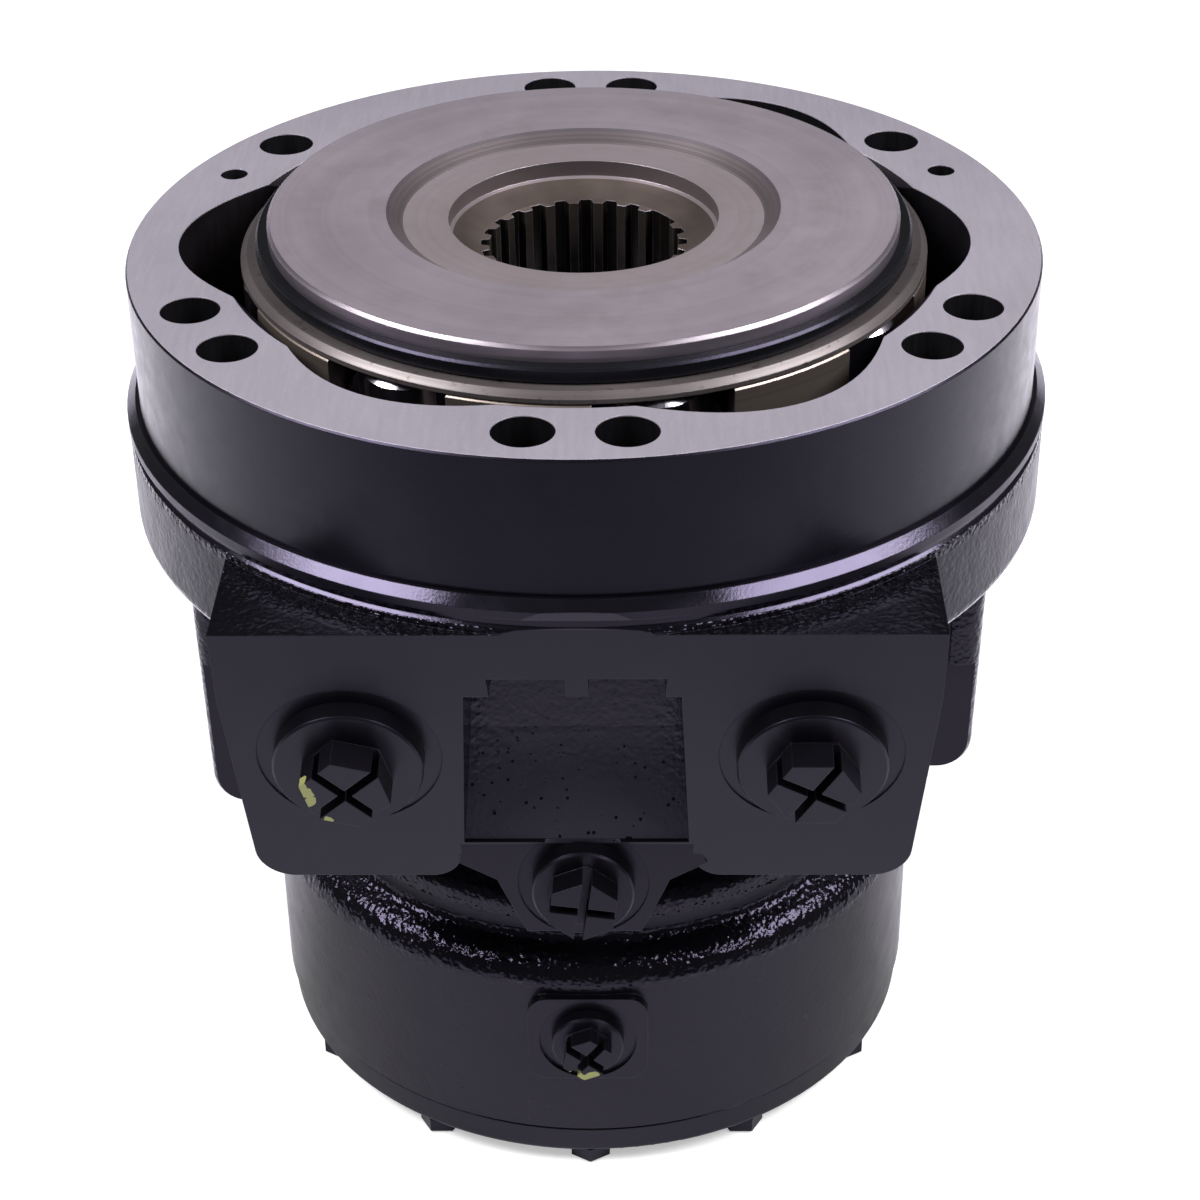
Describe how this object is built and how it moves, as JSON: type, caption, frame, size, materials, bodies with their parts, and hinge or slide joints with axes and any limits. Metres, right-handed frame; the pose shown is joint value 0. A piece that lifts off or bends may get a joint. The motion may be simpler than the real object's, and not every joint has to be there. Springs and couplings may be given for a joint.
{
  "type": "hydraulic drive motor",
  "caption": "Radial piston hydraulic drive motor with cam ring mounting face, splined rotor, ported cast housing, plugged ports and spring-applied parking brake.",
  "frame": {"origin": "centre of the cam ring's mounting face, on the drive axis", "axes": "+Z out of the mounting face along the drive axis, -Y towards the port face, +X to the right of the ports as seen from the port side"},
  "size_m": [0.2266, 0.232, 0.2328],
  "materials": {
    "housing_casting": "painted cast iron, glossy black over a rough casting",
    "cam_ring_steel": "hardened steel, machined face and black outside",
    "seal_rubber": "nitrile rubber",
    "cover_black": "painted black",
    "screw_black": "painted black steel",
    "bush_bronze": "bronze",
    "plug_plastic_left": "moulded plastic, overpainted black",
    "plug_plastic": "moulded plastic, overpainted black",
    "plug_plastic_small": "moulded plastic, overpainted black",
    "distributor_iron": "machined cast iron",
    "spring_steel": "ground steel",
    "brake_steel": "ground steel",
    "block_steel": "turned steel",
    "plate_steel": "brown steel",
    "ring_black": "blackened spring steel",
    "shaft_steel": "hardened steel",
    "friction_lining": "sintered friction lining",
    "piston_steel": "ground steel",
    "ring_plastic": "filled plastic",
    "roller_steel": "polished hardened steel"
  },
  "bodies": {
    "housing_body": {"housing": "housing_casting", "cam_ring": "cam_ring_steel", "cam_ring_seal": "seal_rubber", "rear_cover": "cover_black", "rear_cover_seal": "seal_rubber", "cover_screws": "screw_black", "shaft_bush": "bush_bronze", "main_port_plug_left": "plug_plastic_left", "main_port_plug_right": "plug_plastic", "drain_port_plug": "plug_plastic", "brake_port_plug": "plug_plastic_small", "port_plug_seals": "seal_rubber", "distributor": "distributor_iron", "distributor_seals": "seal_rubber", "distributor_pins": "spring_steel", "distributor_spring": "spring_steel", "brake_plates": "brake_steel", "brake_disc_spring": "spring_steel"},
    "brake_piston_body": {"brake_piston": "brake_steel", "brake_piston_seals": "seal_rubber"},
    "rotor": {"cylinder_block": "block_steel", "upper_retaining_plate": "plate_steel", "retaining_ring": "ring_black", "lower_retaining_plate": "plate_steel", "brake_shaft": "shaft_steel", "brake_discs": "friction_lining"},
    "piston_body_1": {"piston_1": "piston_steel", "piston_ring_1": "ring_plastic"},
    "roller_body_1": {"roller_1": "roller_steel"},
    "piston_body_2": {"piston_2": "piston_steel", "piston_ring_2": "ring_plastic"},
    "roller_body_2": {"roller_2": "roller_steel"},
    "piston_body_3": {"piston_3": "piston_steel", "piston_ring_3": "ring_plastic"},
    "roller_body_3": {"roller_3": "roller_steel"},
    "piston_body_4": {"piston_4": "piston_steel", "piston_ring_4": "ring_plastic"},
    "roller_body_4": {"roller_4": "roller_steel"},
    "piston_body_5": {"piston_5": "piston_steel", "piston_ring_5": "ring_plastic"},
    "roller_body_5": {"roller_5": "roller_steel"},
    "piston_body_6": {"piston_6": "piston_steel", "piston_ring_6": "ring_plastic"},
    "roller_body_6": {"roller_6": "roller_steel"},
    "piston_body_7": {"piston_7": "piston_steel", "piston_ring_7": "ring_plastic"},
    "roller_body_7": {"roller_7": "roller_steel"},
    "piston_body_8": {"piston_8": "piston_steel", "piston_ring_8": "ring_plastic"},
    "roller_body_8": {"roller_8": "roller_steel"}
  },
  "joints": [
    {"name": "rotor_spin", "type": "hinge", "parent": "housing_body", "child": "rotor", "pos_m": [0, 0, 0], "axis": [0, 0, 1], "continuous": true},
    {"name": "brake_release", "type": "slide", "parent": "housing_body", "child": "brake_piston_body", "axis": [0, 0, -1], "range_m": [0, 0.002], "stiffness_N_per_m": 50000, "springref_m": -0.002, "deforming": ["brake_disc_spring"]},
    {"name": "piston_1_stroke", "type": "slide", "parent": "rotor", "child": "piston_body_1", "axis": [0.9728, 0.2317, 0], "range_m": [0, 0.0065]},
    {"name": "roller_1_spin", "type": "hinge", "parent": "piston_body_1", "child": "roller_body_1", "pos_m": [0.07062, 0.01682, -0.0165], "axis": [0, 0, 1], "continuous": true},
    {"name": "piston_2_stroke", "type": "slide", "parent": "rotor", "child": "piston_body_2", "axis": [0.524, 0.8517, 0], "range_m": [0, 0.0104]},
    {"name": "roller_2_spin", "type": "hinge", "parent": "piston_body_2", "child": "roller_body_2", "pos_m": [0.03804, 0.06184, -0.0165], "axis": [0, 0, 1], "continuous": true},
    {"name": "piston_3_stroke", "type": "slide", "parent": "rotor", "child": "piston_body_3", "axis": [-0.2317, 0.9728, 0], "range_m": [0, 0.0049]},
    {"name": "roller_3_spin", "type": "hinge", "parent": "piston_body_3", "child": "roller_body_3", "pos_m": [-0.01682, 0.07062, -0.0165], "axis": [0, 0, 1], "continuous": true},
    {"name": "piston_4_stroke", "type": "slide", "parent": "rotor", "child": "piston_body_4", "axis": [-0.8517, 0.524, 0], "range_m": [0, 0.0009]},
    {"name": "roller_4_spin", "type": "hinge", "parent": "piston_body_4", "child": "roller_body_4", "pos_m": [-0.06184, 0.03804, -0.0165], "axis": [0, 0, 1], "continuous": true},
    {"name": "piston_5_stroke", "type": "slide", "parent": "rotor", "child": "piston_body_5", "axis": [-0.9728, -0.2317, 0], "range_m": [0, 0.0065]},
    {"name": "roller_5_spin", "type": "hinge", "parent": "piston_body_5", "child": "roller_body_5", "pos_m": [-0.07062, -0.01682, -0.0165], "axis": [0, 0, 1], "continuous": true},
    {"name": "piston_6_stroke", "type": "slide", "parent": "rotor", "child": "piston_body_6", "axis": [-0.524, -0.8517, 0], "range_m": [0, 0.0104]},
    {"name": "roller_6_spin", "type": "hinge", "parent": "piston_body_6", "child": "roller_body_6", "pos_m": [-0.03804, -0.06184, -0.0165], "axis": [0, 0, 1], "continuous": true},
    {"name": "piston_7_stroke", "type": "slide", "parent": "rotor", "child": "piston_body_7", "axis": [0.2317, -0.9728, 0], "range_m": [0, 0.0049]},
    {"name": "roller_7_spin", "type": "hinge", "parent": "piston_body_7", "child": "roller_body_7", "pos_m": [0.01682, -0.07062, -0.0165], "axis": [0, 0, 1], "continuous": true},
    {"name": "piston_8_stroke", "type": "slide", "parent": "rotor", "child": "piston_body_8", "axis": [0.8517, -0.524, 0], "range_m": [0, 0.0009]},
    {"name": "roller_8_spin", "type": "hinge", "parent": "piston_body_8", "child": "roller_body_8", "pos_m": [0.06184, -0.03804, -0.0165], "axis": [0, 0, 1], "continuous": true}
  ]
}
